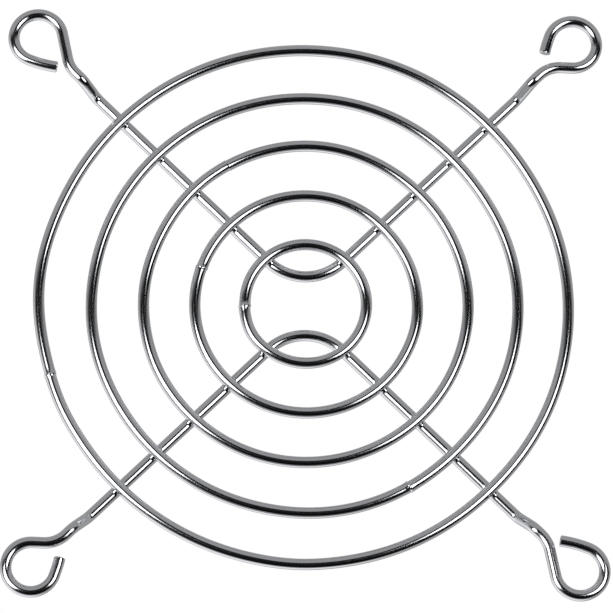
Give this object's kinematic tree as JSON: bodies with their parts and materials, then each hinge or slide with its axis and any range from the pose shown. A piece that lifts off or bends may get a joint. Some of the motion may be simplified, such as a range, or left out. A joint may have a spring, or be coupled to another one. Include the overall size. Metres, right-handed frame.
{
  "type": "wire fan guard",
  "caption": "Finger guard of chromed wire for an axial cooling fan: concentric rings welded across V-shaped rib wires whose ends are rolled to screw eyelets.",
  "frame": {"origin": "on the axis of the rings, at the level of the rib wires' undersides, which lie on z = 0", "axes": "+Z along the rings' axis towards the fan, so the side that faces outwards on a fitted guard is down; X and Y along the sides of the square of the four screw eyelets"},
  "size_m": [0.0794, 0.0794, 0.0041],
  "materials": {
    "chromed_wire": "bright nickel-chrome plating on drawn steel wire, polished, with faint drawing marks"
  },
  "bodies": {
    "root": {"inner_ring": "chromed_wire", "second_ring": "chromed_wire", "third_ring": "chromed_wire", "fourth_ring": "chromed_wire", "outer_ring": "chromed_wire", "upper_rib": "chromed_wire", "lower_rib": "chromed_wire"}
  },
  "joints": []
}
